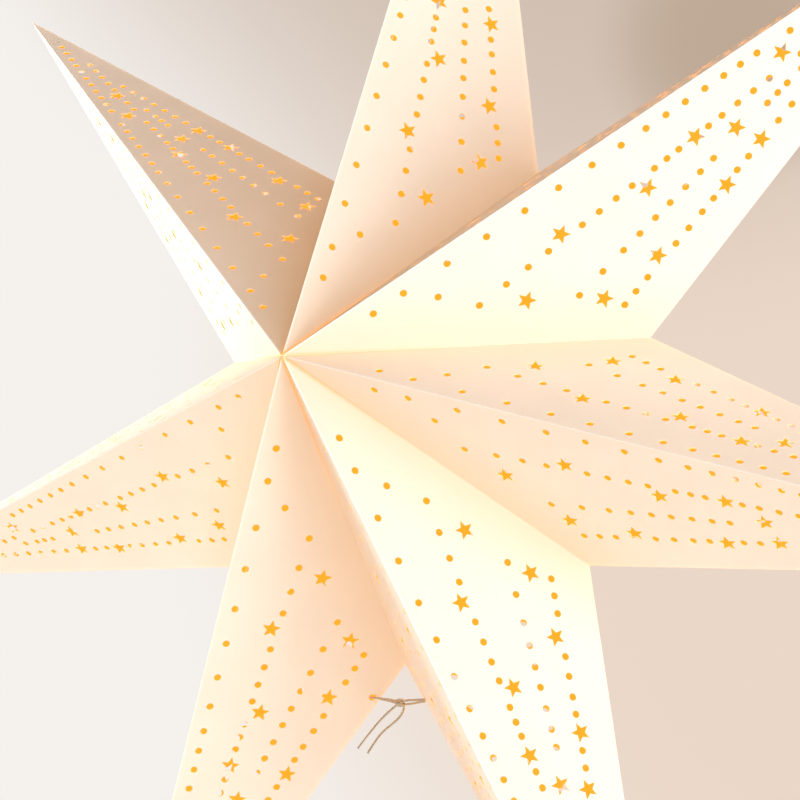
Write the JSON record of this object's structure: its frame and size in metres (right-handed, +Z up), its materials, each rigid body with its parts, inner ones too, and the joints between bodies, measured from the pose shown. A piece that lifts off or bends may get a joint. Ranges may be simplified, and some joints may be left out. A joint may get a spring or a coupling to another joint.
{
  "type": "folded paper star lantern",
  "caption": "Folded paper star shade: long dihedral points with sharp ridges, punched all over with small round dots and little stars, closed at one notch with a tied string.",
  "frame": {"origin": "middle of the hub, halfway between the front apex and the back apex", "axes": "+Z up through the tip of the top point, front apex towards -Y, +X to the right as seen from the front"},
  "size_m": [0.585, 0.186, 0.5703],
  "materials": {
    "paper": "matt ivory card, warm orange on its inner side",
    "string": "twisted natural cotton"
  },
  "bodies": {
    "root": {"point_1": "paper", "point_2": "paper", "point_3": "paper", "point_4": "paper", "point_5": "paper", "point_6": "paper", "point_7": "paper", "tie_string": "string", "tie_knot": "string"}
  },
  "joints": []
}
